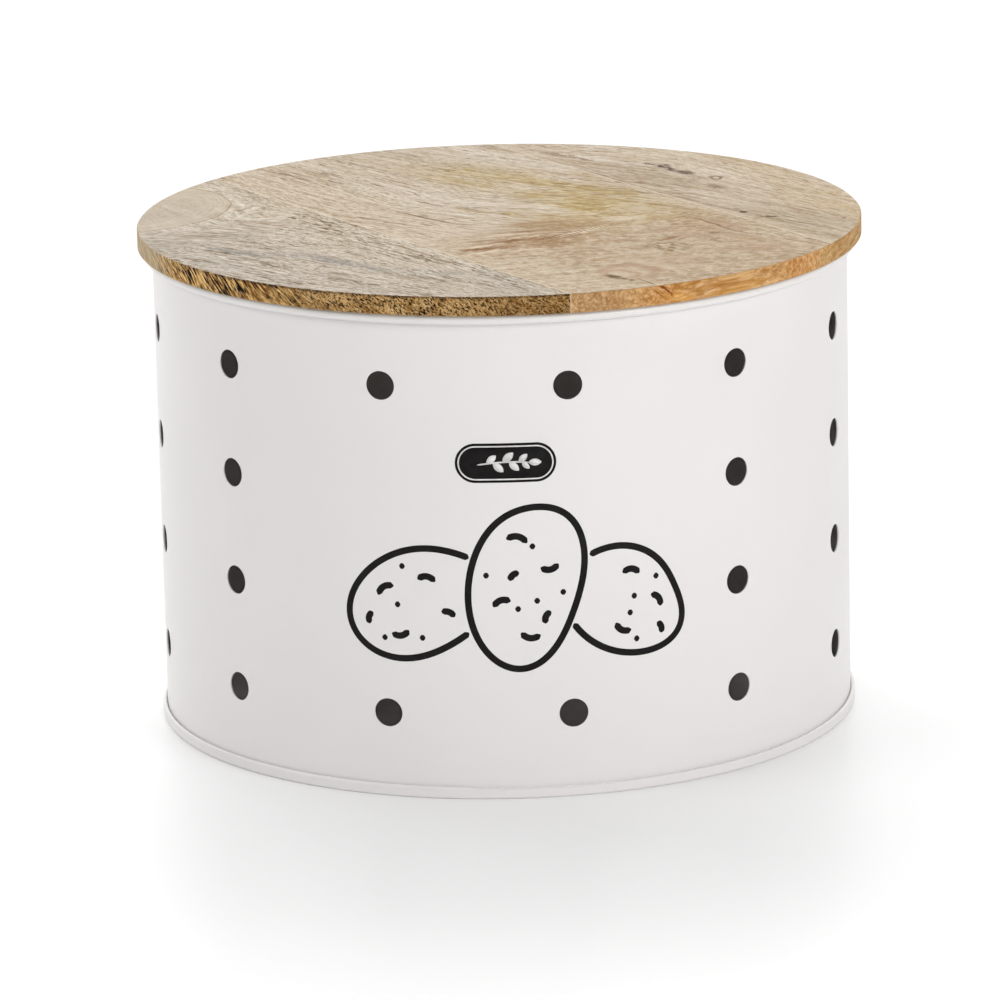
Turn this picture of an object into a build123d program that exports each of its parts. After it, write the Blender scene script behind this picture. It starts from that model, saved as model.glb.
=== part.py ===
from build123d import *
import os
from math import acos, cos, degrees, radians, sin

# Potato storage bin: a punched steel tin with a lift-off lid of glued mango-wood boards.
# Millimetres, +Z up. The origin is on the table under the middle of the base; the front is -Y.

# Steel body
BODY_DIAMETER = 240.0      # outside of the wall
RIM_HEIGHT = 166.0         # table to the top of the rolled rim
SHEET = 0.45               # coated steel sheet of the wall and the base
FOLD_GAP = 0.05            # air between folded layers of sheet
WIRE_DIAMETER = 2.1        # stiffening wire inside the rolled rim
WIRE_FIT = 0.15            # air round the wire

# Double seam that joins the base to the wall, and the base inside it
BASE_SEAM_HEIGHT = 4.0     # the folded band round the foot
SEAM_CORNER = 0.3          # inside bend radius at the band's lower corners
BASE_RECESS = 5.0          # table to the underside of the base, just inside the seam
PANEL_DIAMETER = 208.0     # raised middle of the base
PANEL_RISE = 1.5           # how far it is raised
PANEL_BEND = 0.9           # inside radius of the bends in the base

# Side seam at the back, where the rolled wall is locked to itself
SIDE_SEAM_WIDTH = 5.0      # folded strip inside the wall
SIDE_SEAM_LAP = 5.0        # plain lap left unfolded above the base and below the lid's plug
SIDE_SEAM_LINE = 0.4       # width of the joint line outside
SIDE_SEAM_LINE_DEPTH = 0.15

# Air vents
VENT_DIAMETER = 9.8
VENT_COLUMNS = 12          # evenly round the wall, with none at the exact front
VENT_ROWS = 4
LOWEST_VENT = 28.7         # table to the centres of the lowest row
HIGHEST_VENT = 24.9        # rim top down to the centres of the highest row

# Wooden lid
LID_OVERHANG = 5.0         # lid edge beyond the wall
LID_LIP = 6.7              # thickness of the lid above the rim
LID_REST_GAP = 0.3         # lid above the rim
LID_ARRIS = 0.4            # narrow chamfer on the lip's two corners
PLUG_DEPTH = 8.0           # step under the lid that reaches into the tin
PLUG_GAP = 1.5             # plug to the inside of the wall
PLUG_LEAD_IN = 1.5         # chamfer round the plug's lower corner
BOARD_ANGLE = 37.0         # direction across the boards, from +X towards +Y
MIDDLE_BOARD_WIDTH = 111.8
MIDDLE_BOARD_OFFSET = 9.4  # middle board's centre line from the lid's centre

# Silicone ring round the plug
SEAL_HEIGHT = 3.2          # ring where it sits in its groove
SEAL_TIP_HEIGHT = 1.2      # its outer edge
SEAL_DEPTH = 2.0           # ring inside the groove
SEAL_WALL_GAP = 0.3        # ring to the inside of the wall
SEAL_FIT = 0.1             # ring to the groove's faces
SEAL_BELOW_RIM = 3.5       # underside of the lip to the middle of the ring

body_radius = BODY_DIAMETER / 2
bore_radius = body_radius - SHEET
hook_space = SHEET + 2 * FOLD_GAP           # room inside a folded hook for one layer
hook_outer = hook_space / 2 + SHEET         # outside radius of a hook's bend
wall_foot = SHEET + FOLD_GAP + hook_outer   # height where the wall's lower bend starts
seam_crown = BASE_SEAM_HEIGHT - hook_outer  # height where the seam's upper bend starts
wire_radius = WIRE_DIAMETER / 2
curl_bore = wire_radius + WIRE_FIT
curl_radius = curl_bore + SHEET
curl_height = RIM_HEIGHT - curl_radius      # height of the wire's centre
lid_radius = body_radius + LID_OVERHANG
lip_bottom = RIM_HEIGHT + LID_REST_GAP
lid_top = lip_bottom + LID_LIP
plug_radius = bore_radius - PLUG_GAP
plug_bottom = lip_bottom - PLUG_DEPTH
seal_height = lip_bottom - SEAL_BELOW_RIM   # height of the ring's middle


def on_heading(point, heading, distance):
    """The point a distance away along a heading in degrees."""
    return point + Vector(distance * cos(radians(heading)), distance * sin(radians(heading)))


def folded_sheet(start, heading, moves):
    """Section of a folded sheet, as (radius, height), from one end of its middle line.

    A move is a straight length, or (inside radius, turn in degrees) for a bend, positive to the left.
    """
    place = Vector(*start)
    faces = {1: [], -1: []}                 # edges on the left and the right of the middle line
    for move in moves:
        if isinstance(move, tuple):
            inside_radius, turn = move
            hand = 1 if turn > 0 else -1
            middle_radius = inside_radius + SHEET / 2
            centre = on_heading(place, heading + 90, hand * middle_radius)
            for side, edges in faces.items():
                radius = middle_radius - hand * side * SHEET / 2
                edges.append(CenterArc(centre, radius, heading - hand * 90, turn))
            heading += turn
            place = on_heading(centre, heading + 90, -hand * middle_radius)
        else:
            ahead = on_heading(place, heading, move)
            for side, edges in faces.items():
                edges.append(Line(on_heading(place, heading + 90, side * SHEET / 2),
                                  on_heading(ahead, heading + 90, side * SHEET / 2)))
            place = ahead
    ends = [Line(faces[1][0] @ 0, faces[-1][0] @ 0), Line(faces[1][-1] @ 1, faces[-1][-1] @ 1)]
    return make_face(faces[1] + faces[-1] + ends)


def turned(section, arc=360.0):
    """A (radius, height) section revolved about the tin's axis, from +X."""
    return revolve(Plane.XZ * section, axis=Axis.Z, revolution_arc=arc)


def side_seam_strip():
    """The locked fold inside the wall at the back: two more layers of sheet."""
    low = BASE_RECESS + SHEET + SIDE_SEAM_LAP
    high = plug_bottom - SIDE_SEAM_LAP
    layers = 2 * SHEET
    width = degrees(SIDE_SEAM_WIDTH / bore_radius)
    section = Pos(bore_radius - layers / 2, (low + high) / 2) * Rectangle(layers, high - low)
    return Rot(0, 0, 90 - width / 2) * turned(section, width)


def side_seam_line():
    """The joint line outside, from the foot seam up to the rim, cut out of the wall."""
    low, high = BASE_SEAM_HEIGHT, curl_height - curl_radius
    groove = Box(SIDE_SEAM_LINE, 2 * SIDE_SEAM_LINE_DEPTH, high - low)
    return Pos(0, body_radius, (low + high) / 2) * groove


def vent_punches():
    """One punch through the wall for each vent; the front pair of columns keeps its middle clear."""
    highest = RIM_HEIGHT - HIGHEST_VENT
    row_step = (highest - LOWEST_VENT) / (VENT_ROWS - 1)
    column_step = 360 / VENT_COLUMNS
    punches = []
    for column in range(VENT_COLUMNS):
        from_front = (column + 0.5) * column_step
        beside_front = column in (0, VENT_COLUMNS - 1)
        for row in range(VENT_ROWS):
            if beside_front and 0 < row < VENT_ROWS - 1:
                continue
            wall = Pos(body_radius, 0, LOWEST_VENT + row * row_step)
            punch = Rot(0, 90, 0) * Cylinder(VENT_DIAMETER / 2, 2 * VENT_DIAMETER)
            punches.append(Rot(0, 0, from_front - 90) * wall * punch)
    return punches


def make_body_shell():
    """Hook folded up outside the foot, the wall, and the rim curled outwards round its wire."""
    hook_middle = body_radius + hook_space + SHEET / 2
    to_wall = degrees(acos(-wire_radius / curl_radius))  # the curl's free edge stops short of the wall
    section = folded_sheet((hook_middle, seam_crown), -90, [
        seam_crown - wall_foot,
        (hook_space / 2, -180),
        curl_height - wall_foot,
        (curl_bore, -180 - to_wall),
    ])
    shell = turned(section) + side_seam_strip() - side_seam_line()
    return shell - vent_punches()


def make_rim_wire():
    """Closed ring of round wire inside the curl."""
    return Pos(0, 0, curl_height) * Torus(body_radius + curl_bore, wire_radius)


def make_base_pan():
    """Pressed base whose edge wraps the wall's hook: the other half of the double seam."""
    hook_middle = body_radius + FOLD_GAP + SHEET / 2
    band_middle = hook_middle + hook_space + SHEET
    chuck_middle = bore_radius - FOLD_GAP - SHEET / 2
    corner = SEAM_CORNER + SHEET / 2
    bend = PANEL_BEND + SHEET / 2
    slope = (PANEL_RISE - 2 * bend * (1 - cos(radians(45)))) / sin(radians(45))
    slope_run = 2 * bend * sin(radians(45)) + slope * cos(radians(45))
    section = folded_sheet((hook_middle, wall_foot), 90, [
        seam_crown - wall_foot,
        (hook_space / 2, -180),
        seam_crown - SHEET - SEAM_CORNER,
        (SEAM_CORNER, -90),
        band_middle - chuck_middle - 2 * corner,
        (SEAM_CORNER, -90),
        BASE_RECESS - SEAM_CORNER - SHEET - PANEL_BEND,
        (PANEL_BEND, 90),
        chuck_middle - bend - PANEL_DIAMETER / 2 - slope_run,
        (PANEL_BEND, -45),
        slope,
        (PANEL_BEND, 45),
        PANEL_DIAMETER / 2,
    ])
    return turned(section)


def make_lid_blank():
    """The whole lid before it is parted into boards: lip, plug, and the groove for the ring."""
    groove_radius = plug_radius - SEAL_DEPTH - SEAL_FIT
    groove_low = seal_height - SEAL_HEIGHT / 2 - SEAL_FIT
    groove_high = seal_height + SEAL_HEIGHT / 2 + SEAL_FIT
    outline = Polyline(
        (0, plug_bottom),
        (plug_radius - PLUG_LEAD_IN, plug_bottom),
        (plug_radius, plug_bottom + PLUG_LEAD_IN),
        (plug_radius, groove_low),
        (groove_radius, groove_low),
        (groove_radius, groove_high),
        (plug_radius, groove_high),
        (plug_radius, lip_bottom),
        (lid_radius, lip_bottom),
        (lid_radius, lid_top),
        (0, lid_top),
        close=True,
    )
    section = make_face(outline)
    lip_corners = section.vertices().sort_by(Axis.X)[-2:]
    return turned(chamfer(lip_corners, LID_ARRIS))


def make_lid_boards():
    """The blank parted along its two glue lines, from the front left board to the back right one."""
    front_line = MIDDLE_BOARD_OFFSET - MIDDLE_BOARD_WIDTH / 2
    back_line = MIDDLE_BOARD_OFFSET + MIDDLE_BOARD_WIDTH / 2
    past_edge = 1.5 * lid_radius            # rough boards reach past the lid's edge
    rough_boards = {
        "lid_board_front": (-past_edge, front_line),
        "lid_board_middle": (front_line, back_line),
        "lid_board_back": (back_line, past_edge),
    }
    blank = make_lid_blank()
    middle_height = (plug_bottom + lid_top) / 2
    boards = {}
    for name, (near, far) in rough_boards.items():
        rough = Pos((near + far) / 2, 0, middle_height) * Box(far - near, 2 * past_edge, 2 * past_edge)
        boards[name] = blank & Rot(0, 0, BOARD_ANGLE) * rough
    return boards


def make_lid_seal():
    """Flat ring in the plug's groove, with an outer edge that tapers towards the wall."""
    inner = plug_radius - SEAL_DEPTH
    outer = bore_radius - SEAL_WALL_GAP
    half, half_tip = SEAL_HEIGHT / 2, SEAL_TIP_HEIGHT / 2
    outline = Polyline(
        (inner, seal_height - half),
        (plug_radius, seal_height - half),
        (outer, seal_height - half_tip),
        (outer, seal_height + half_tip),
        (plug_radius, seal_height + half),
        (inner, seal_height + half),
        close=True,
    )
    return turned(make_face(outline))


pieces = {
    "body_shell": make_body_shell(),
    "rim_wire": make_rim_wire(),
    "base_pan": make_base_pan(),
    **make_lid_boards(),
    "lid_seal": make_lid_seal(),
}
os.makedirs("parts", exist_ok=True)
for name, piece in pieces.items():
    export_step(piece, f"parts/{name}.step")
    print(f"{name}: {piece.volume / 1000:.1f} cm3")
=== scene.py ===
# %% [markdown]
# # Potato storage bin
# A white powder-coated tin with punched air vents and a loose lid of three glued mango-wood boards.
# The steel and the boards are exact CAD solids, so they are loaded as a fixed frame and only get
# their finishes here. What is added is what a maker prints on the finished tin.

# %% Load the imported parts
import math
import bmesh
import bpy
from mathutils import Matrix, Vector


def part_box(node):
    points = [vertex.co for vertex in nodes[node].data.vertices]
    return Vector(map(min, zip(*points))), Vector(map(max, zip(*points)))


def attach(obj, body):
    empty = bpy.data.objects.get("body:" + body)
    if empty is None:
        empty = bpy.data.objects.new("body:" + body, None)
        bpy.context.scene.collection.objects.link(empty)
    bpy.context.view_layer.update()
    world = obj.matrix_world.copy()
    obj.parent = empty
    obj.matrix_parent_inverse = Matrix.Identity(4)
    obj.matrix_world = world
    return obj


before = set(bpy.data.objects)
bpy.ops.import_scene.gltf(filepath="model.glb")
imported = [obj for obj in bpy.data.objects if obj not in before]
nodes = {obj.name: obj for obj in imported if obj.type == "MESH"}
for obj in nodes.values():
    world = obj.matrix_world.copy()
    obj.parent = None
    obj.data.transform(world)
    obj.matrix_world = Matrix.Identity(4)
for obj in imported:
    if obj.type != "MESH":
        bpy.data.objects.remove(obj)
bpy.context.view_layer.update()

MM = 0.001

# %% [markdown]
# ## Sizes read from the parts
# Numbers that the solids already hold are read from them, so the finishes follow if the part is
# made a little larger. The rim wire runs round the outside of the wall, so the wall's radius is
# the wire's less its own reach. The boards' glue lines are found by turning the middle board's
# corners onto the grain: x then runs along the grain and y across the boards.

# %% Key sizes
WIRE_REACH = 2.25 * MM                # from the wall's face to the wire's outer side
wall_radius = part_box("rim_wire")[1].x - WIRE_REACH
lid_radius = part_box("lid_board_back")[1].x
lid_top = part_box("lid_board_back")[1].z
GRAIN_TURN = math.radians(53)
onto_grain = Matrix.Rotation(GRAIN_TURN, 3, "Z")
across = [(onto_grain @ vertex.co).y / MM for vertex in nodes["lid_board_middle"].data.vertices]
front_glue, back_glue = min(across), max(across)
print("wall radius", round(wall_radius / MM, 2), "lid radius", round(lid_radius / MM, 2), "mm")
print("glue lines at", round(front_glue, 1), "and", round(back_glue, 1), "mm across the boards")

# %% [markdown]
# ## Camera
# The tin is seen from a little above with a long lens, so its upright lines stay almost parallel.
# Rotation angles could place the camera, but the slight roll is easier to read as a turn of the
# camera's own right and up arrows. It aims a little below the middle of the tin, because the tin
# stands above the middle of the picture.

# %% Camera
VIEW_TURN = math.radians(4.7)         # towards +X, off the front of the tin
VIEW_PITCH = math.radians(16.38)
VIEW_DISTANCE = 2.2842
VIEW_ROLL = math.radians(-1.26)
AIM_HEIGHT = 0.084
AIM_DROP = 11.93 * MM
AIM_LEFT = 1.77 * MM
LENS = 233.4                          # millimetres, for a 36 mm sensor


def arrows(place, aim):
    """The camera's own forward, right and up directions."""
    ahead = (aim - place).normalized()
    right = ahead.cross(Vector((0, 0, 1))).normalized()
    return ahead, right, right.cross(ahead)


back_off = Vector((0, -math.cos(VIEW_PITCH), math.sin(VIEW_PITCH))) * VIEW_DISTANCE
camera_place = Matrix.Rotation(VIEW_TURN, 3, "Z") @ back_off
middle = Vector((0, 0, AIM_HEIGHT))
ahead, right, up = arrows(camera_place, middle)
ahead, right, up = arrows(camera_place, middle - up * AIM_DROP - right * AIM_LEFT)
rolled_right = right * math.cos(VIEW_ROLL) + up * math.sin(VIEW_ROLL)
rolled_up = up * math.cos(VIEW_ROLL) - right * math.sin(VIEW_ROLL)
axes = Matrix((rolled_right, rolled_up, -ahead)).transposed().to_4x4()
camera = bpy.data.objects.new("camera", bpy.data.cameras.new("camera"))
camera.data.lens = LENS
camera.data.sensor_width = 36
camera.data.clip_end = 50
camera.matrix_world = Matrix.Translation(camera_place) @ axes
bpy.context.scene.collection.objects.link(camera)
bpy.context.scene.camera = camera
bpy.context.scene.view_settings.view_transform = "Standard"
print("camera at", [round(c, 3) for c in camera_place])

# %% [markdown]
# ## Helpers for shader nodes
# A finish is a tree of small nodes. Written out one by one they bury the idea, so a few helpers
# add a node and join its inputs in one call. A value may be a number or another node's output.

# %% Helpers for shader nodes
def put(tree, kind, inputs=(), **settings):
    """Adds a shader node. Inputs are values or sockets, by place or by name."""
    node = tree.nodes.new("ShaderNode" + kind)
    for name, value in settings.items():
        setattr(node, name, value)
    for key, value in inputs.items() if isinstance(inputs, dict) else enumerate(inputs):
        if isinstance(value, bpy.types.NodeSocket):
            tree.links.new(value, node.inputs[key])
        elif value is not None:
            node.inputs[key].default_value = value
    return node


def calc(tree, operation, *values):
    return put(tree, "Math", values, operation=operation).outputs[0]


def ease(tree, value, low, high):
    """0 at low and 1 at high, with a soft change between them."""
    inputs = {"Value": value, "From Min": low, "From Max": high}
    return put(tree, "MapRange", inputs, interpolation_type="SMOOTHSTEP").outputs[0]


def blend(tree, factor, first, second):
    """The first colour where the factor is 0, the second where it is 1."""
    return put(tree, "Mix", {0: factor, 6: first, 7: second}, data_type="RGBA").outputs[2]


def object_place(tree):
    """The place of a point on the piece itself, so a pattern stays put when the piece moves."""
    return put(tree, "TexCoord").outputs["Object"]


def split(tree, vector):
    """The x, y and z of a vector."""
    return put(tree, "SeparateXYZ", [vector]).outputs


def vector_of(tree, *values):
    return put(tree, "CombineXYZ", values).outputs[0]


def vector_math(tree, operation, *vectors):
    return put(tree, "VectorMath", vectors, operation=operation).outputs[0]


def vector_length(tree, vector):
    return put(tree, "VectorMath", [vector], operation="LENGTH").outputs["Value"]


def raised(tree, height, strength, depth, below=None):
    """The normal of a surface with a fine relief of the given depth, over the relief below it."""
    inputs = {"Strength": strength, "Distance": depth, "Height": height, "Normal": below}
    return put(tree, "Bump", inputs).outputs[0]


def moved(tree, vector, place=(0, 0, 0), turn=0.0, scale=(1, 1, 1)):
    inputs = {"Vector": vector, "Location": place, "Rotation": (0, 0, turn), "Scale": scale}
    return put(tree, "Mapping", inputs).outputs[0]


def noise(tree, vector, scale, detail=2.0, rough=0.5, bend=0.0):
    inputs = {"Vector": vector, "Scale": scale, "Detail": detail, "Roughness": rough,
              "Distortion": bend}
    return put(tree, "TexNoise", inputs).outputs[0]


def paint(red, green, blue):
    """A colour given as it looks on a screen, 0 to 255, turned into the light it reflects."""
    def linear(part):
        part /= 255
        return part / 12.92 if part <= 0.04045 else ((part + 0.055) / 1.055) ** 2.4
    return (linear(red), linear(green), linear(blue), 1.0)


def new_material(name):
    material = bpy.data.materials.new(name)
    material.use_nodes = True
    tree = material.node_tree
    return material, tree, tree.nodes["Principled BSDF"]


def feed(tree, shader, colour, roughness, normal):
    """Joins what changes over the surface to the shader."""
    tree.links.new(colour, shader.inputs["Base Color"])
    tree.links.new(roughness, shader.inputs["Roughness"])
    tree.links.new(normal, shader.inputs["Normal"])


def new_group(name, inputs, outputs):
    """A node group. Inputs are (name, kind, value) and outputs are (name, kind)."""
    group = bpy.data.node_groups.new(name, "ShaderNodeTree")
    for label, kind, value in inputs:
        socket = group.interface.new_socket(label, in_out="INPUT", socket_type="NodeSocket" + kind)
        if value is not None:
            socket.default_value = value
    for label, kind in outputs:
        group.interface.new_socket(label, in_out="OUTPUT", socket_type="NodeSocket" + kind)
    given = group.nodes.new("NodeGroupInput").outputs
    result = group.nodes.new("NodeGroupOutput").inputs
    return group, given, result


def dress(obj, material):
    obj.data.materials.clear()
    obj.data.materials.append(material)

# %% [markdown]
# ## Stage
# A product like this is shown on white, lit from all around by large soft lights. The floor is a
# real plane, so the tin stands on it and shades it. Most light comes from behind and above, which
# leaves a soft shadow in front of the tin, and three smaller soft boxes model the round wall:
# the strongest to the right, one ahead and a weak one to the left.

# %% Sky
SKY_LEVEL = 0.35                      # strength of the light from all around
SKY_BEHIND = 1.05                     # how much more comes from behind the tin
world = bpy.data.worlds.new("studio")
bpy.context.scene.world = world
world.use_nodes = True
tree = world.node_tree
sky = tree.nodes["Background"]
sky.inputs["Color"].default_value = (1, 1, 1, 1)
heading = split(tree, put(tree, "TexCoord").outputs["Generated"])
behind = calc(tree, "MULTIPLY_ADD", ease(tree, heading[1], 0.0, 1.0), SKY_BEHIND, SKY_LEVEL)
seen = put(tree, "LightPath").outputs["Is Camera Ray"]
tree.links.new(put(tree, "Mix", [seen, None, behind, 1.0]).outputs[0], sky.inputs["Strength"])
print("sky strength", SKY_LEVEL, "in front and", round(SKY_LEVEL + SKY_BEHIND, 2), "behind")

# %% Floor
FLOOR_REACH = 6                       # metres each way from the tin
FLOOR_WHITE = (0.93, 0.93, 0.93, 1)
floor_mesh = bpy.data.meshes.new("floor")
bm = bmesh.new()
bmesh.ops.create_grid(bm, x_segments=1, y_segments=1, size=FLOOR_REACH)
bm.to_mesh(floor_mesh)
bm.free()
floor = bpy.data.objects.new("floor", floor_mesh)
bpy.context.scene.collection.objects.link(floor)
floor_finish, tree, shader = new_material("floor_white")
shader.inputs["Base Color"].default_value = FLOOR_WHITE
shader.inputs["Roughness"].default_value = 0.35
dress(floor, floor_finish)
print("floor reaches", FLOOR_REACH, "m each way")

# %% Soft boxes
LIT_MIDDLE = Vector((0, 0, 0.1))
# name, place, width, height and power in watts
SOFT_BOXES = (
    ("box_right", (0.75, -0.75, 0.55), 0.5, 0.5, 4.4),
    ("box_front", (0.2, -1.0, 0.52), 0.5, 0.5, 1.3),
    ("box_left", (-0.8, -0.4, 0.6), 0.5, 0.5, 2.3),
    ("bank_behind", (0.0, 1.5, 1.6), 2.0, 1.0, 11.6),
    ("bank_behind_left", (-1.2, 1.2, 1.4), 1.4, 1.0, 9.0))

for name, place, width, height, power in SOFT_BOXES:
    lamp = bpy.data.lights.new(name, "AREA")
    lamp.shape = "RECTANGLE"
    lamp.size = width
    lamp.size_y = height
    lamp.energy = power
    light = bpy.data.objects.new(name, lamp)
    light.location = place
    light.rotation_euler = (LIT_MIDDLE - Vector(place)).to_track_quat("-Z", "Y").to_euler()
    bpy.context.scene.collection.objects.link(light)
print("lit by the sky and", len(SOFT_BOXES), "soft boxes")

# %% [markdown]
# ## Powder coat
# The steel is sprayed with white powder and baked. The powder melts into a thick satin skin with a
# faint orange peel, which catches the light in tiny uneven glints. A bump from fine noise gives the
# peel, and a wider, weaker one gives the slow waves of rolled sheet. Inside and outside are coated
# alike, so one material serves the wall and the base.

# %% Powder coat
COAT = (0.80, 0.778, 0.768, 1)
COAT_THIN = (0.765, 0.745, 0.735, 1)
PEEL_SCALE = 900                      # bumps of orange peel to the metre
PEEL_STRENGTH = 0.12
PEEL_DEPTH = 0.12 * MM
coat, tree, shader = new_material("powder_coat_white")
place = object_place(tree)
peel = noise(tree, place, PEEL_SCALE, 2, 0.5)
waves = noise(tree, place, 14, 1, 0.5)
cover = ease(tree, noise(tree, place, 5, 3, 0.6), 0.35, 0.65)
gloss = calc(tree, "MULTIPLY_ADD", noise(tree, place, 60, 3, 0.6), 0.10, 0.28)
skin = raised(tree, peel, PEEL_STRENGTH, PEEL_DEPTH)
skin = raised(tree, waves, 0.25, 1.5 * MM, skin)
feed(tree, shader, blend(tree, cover, COAT_THIN, COAT), gloss, skin)
for name in ("body_shell", "base_pan"):
    dress(nodes[name], coat)
print("coated body_shell and base_pan")

# %% [markdown]
# ## Mango wood, grain first
# Mango is a pale brown wood with short dark pores, soft bands along the grain and restless figure
# near knots and forks. A picture of wood would be quick but blurs close up and repeats, so the grain
# is built from noise. Very long noise gives bands, long noise gives streaks, and noise that is cut
# off at a threshold leaves only its peaks: dashes, which crowd together in places, and fine pores.
# All three boards and all their sides use it, so it is a node group with its lengths in millimetres.

# %% Plank grain group
grain_group, given, result = new_group("plank_grain", (
    ("Place", "Vector", None), ("Streak Length", "Float", 40.0), ("Streak Width", "Float", 1.7),
    ("Dash Length", "Float", 6.5), ("Dash Width", "Float", 0.75), ("Dash Start", "Float", 0.58),
    ("Crowding", "Float", 0.42)), (
    ("Bands", "Float"), ("Streaks", "Float"), ("Flecks", "Float"), ("Dashes", "Float"),
    ("Pores", "Float"), ("Height", "Float")))


def stretched(tree, place, length, width):
    """Place measured in pattern lengths along the grain and pattern widths across it."""
    return vector_math(tree, "DIVIDE", place, vector_of(tree, length, width, width))


long_place = stretched(grain_group, given["Place"], given["Streak Length"], given["Streak Width"])
wide_place = moved(grain_group, long_place, place=(3.7, 1.9, 0.4), scale=(0.30, 0.18, 0.18))
crowd_place = moved(grain_group, long_place, place=(0.9, 6.1, 2.7), scale=(1.0, 0.24, 0.24))
dash_place = stretched(grain_group, given["Place"], given["Dash Length"], given["Dash Width"])
fleck_place = moved(grain_group, dash_place, place=(2.3, 8.5, 5.2), scale=(1.5, 0.75, 0.75))
pore_place = moved(grain_group, dash_place, place=(7.1, 5.3, 2.2), scale=(2.6, 2.4, 2.4))
bands = ease(grain_group, noise(grain_group, wide_place, 1.0, 3, 0.6, 0.3), 0.34, 0.66)
streaks = ease(grain_group, noise(grain_group, long_place, 1.0, 4, 0.62), 0.25, 0.75)
flecks = ease(grain_group, noise(grain_group, fleck_place, 1.0, 2, 0.6), 0.28, 0.72)
crowd = noise(grain_group, crowd_place, 1.0, 2, 0.5)
crowd = calc(grain_group, "MULTIPLY", calc(grain_group, "SUBTRACT", 0.5, crowd), given["Crowding"])
start = calc(grain_group, "ADD", given["Dash Start"], crowd)
peaks = noise(grain_group, dash_place, 1.0, 2, 0.5)
dashes = ease(grain_group, peaks, start, calc(grain_group, "ADD", start, 0.10))
pores = ease(grain_group, noise(grain_group, pore_place, 1.0, 1, 0.4), 0.57, 0.65)
low = calc(grain_group, "ADD", dashes, calc(grain_group, "MULTIPLY", pores, 0.6))
height = calc(grain_group, "SUBTRACT", calc(grain_group, "MULTIPLY", streaks, 0.4), low)
values = {"Bands": bands, "Streaks": streaks, "Flecks": flecks, "Dashes": dashes,
          "Pores": pores, "Height": height}
for label, value in values.items():
    grain_group.links.new(value, result[label])
print("plank_grain has", len(grain_group.nodes), "nodes")

# %% [markdown]
# ## Spots of figure
# A fork or a knot shows as patches of other colours: ochre fungus stain, grey heart, a reddish ring
# round a black core. Each patch is a soft ellipse laid on the board, with its place, half sizes
# and turn in millimetres and degrees. The place is bent by noise first, so no edge stays a
# true ellipse, and the patch is then broken up by the streaks as real stain follows the fibres.

# %% Figure spot group
ANY_HEIGHT = 1000.0                   # a patch goes right through the board
spot_group, given, result = new_group("figure_spot", (
    ("Place", "Vector", None), ("Middle", "Vector", None), ("Turn", "Float", 0.0),
    ("Half Length", "Float", 10.0), ("Half Width", "Float", 5.0), ("Edge", "Float", 0.5)), (
    ("Mask", "Float"),))
turned_place = put(spot_group, "VectorRotate", {
    "Vector": given["Place"], "Center": given["Middle"],
    "Angle": calc(spot_group, "MULTIPLY", given["Turn"], -1.0)}, rotation_type="Z_AXIS").outputs[0]
offset = vector_math(spot_group, "SUBTRACT", turned_place, given["Middle"])
size = vector_of(spot_group, given["Half Length"], given["Half Width"], ANY_HEIGHT)
away = vector_length(spot_group, vector_math(spot_group, "DIVIDE", offset, size))
inner = calc(spot_group, "SUBTRACT", 1.0, given["Edge"])
outer = calc(spot_group, "ADD", 1.0, given["Edge"])
spot_group.links.new(ease(spot_group, away, outer, inner), result["Mask"])
print("figure_spot has", len(spot_group.nodes), "nodes")


def share(tree, *masks):
    """Masks and amounts multiplied together."""
    product = masks[0]
    for mask in masks[1:]:
        product = calc(tree, "MULTIPLY", product, mask)
    return product


def less(tree, mask):
    """What a mask leaves over."""
    return calc(tree, "SUBTRACT", 1.0, mask)


def tint(tree, tone, colour, *masks):
    """A colour laid over a tone, as far as its masks and amounts let it."""
    return blend(tree, share(tree, *masks), tone, colour)


def spots(tree, place, patches, edge):
    """One mask for a list of patches: (along, across, half length, half width, turn, strength)."""
    mask = None
    for along, over, half_length, half_width, turn, strength in patches:
        inputs = {"Place": place, "Middle": (along, over, 0), "Turn": math.radians(turn),
                  "Half Length": half_length, "Half Width": half_width, "Edge": edge}
        spot = put(tree, "Group", inputs, node_tree=spot_group).outputs["Mask"]
        spot = calc(tree, "MULTIPLY", spot, strength)
        mask = spot if mask is None else calc(tree, "MAXIMUM", mask, spot)
    return mask


def ring(tree, place, middle, size, band):
    """A closed ring: an ellipse less a smaller one."""
    outer = spots(tree, place, ((*middle, *size, 1.0),), 0.25)
    inner = spots(tree, place, ((*middle, size[0] - band, size[1] - band, size[2], 1.0),), 0.35)
    return calc(tree, "MAXIMUM", calc(tree, "SUBTRACT", outer, inner), 0.0)


# %% [markdown]
# ## What every board shares
# A board's top is sanded and oiled, pale and dull. Its sawn side shows the same fibres cut another
# way: where the side runs along the grain they are streaks, and where it cuts across they are dots.
# Noise that fills space shows both by itself, because the side simply cuts through it. The fibres
# of a real board are not level, so on the side their place is sheared, and the streaks climb.
#
# Fibres also wander on the top. Sliding the noise across the board by an amount that grows along it
# gives them a slope, and sliding it by a curve gives a bend.
#
# Radius tells top from side, since it is exact on a turned disc. The thin line where two boards
# are glued is drawn by the distance to the glue plane.

# %% Board helpers
def board_place(tree):
    """The place on the lid in millimetres: x along the grain, y across the boards, z up."""
    place = object_place(tree)
    place = moved(tree, place, turn=GRAIN_TURN, scale=(1 / MM, 1 / MM, 1 / MM))
    return place, split(tree, place)


def bent(tree, place, size, amount):
    """The place moved about by noise: patches of the given size, by up to half the amount."""
    cloud = put(tree, "TexNoise", {"Vector": place, "Scale": 1 / size, "Detail": 2.0, "Roughness": 0.6})
    shift = vector_math(tree, "SUBTRACT", cloud.outputs["Color"], (0.5, 0.5, 0.5))
    far = put(tree, "VectorMath", {0: shift, "Scale": amount}, operation="SCALE").outputs[0]
    return vector_math(tree, "ADD", place, far)


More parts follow.
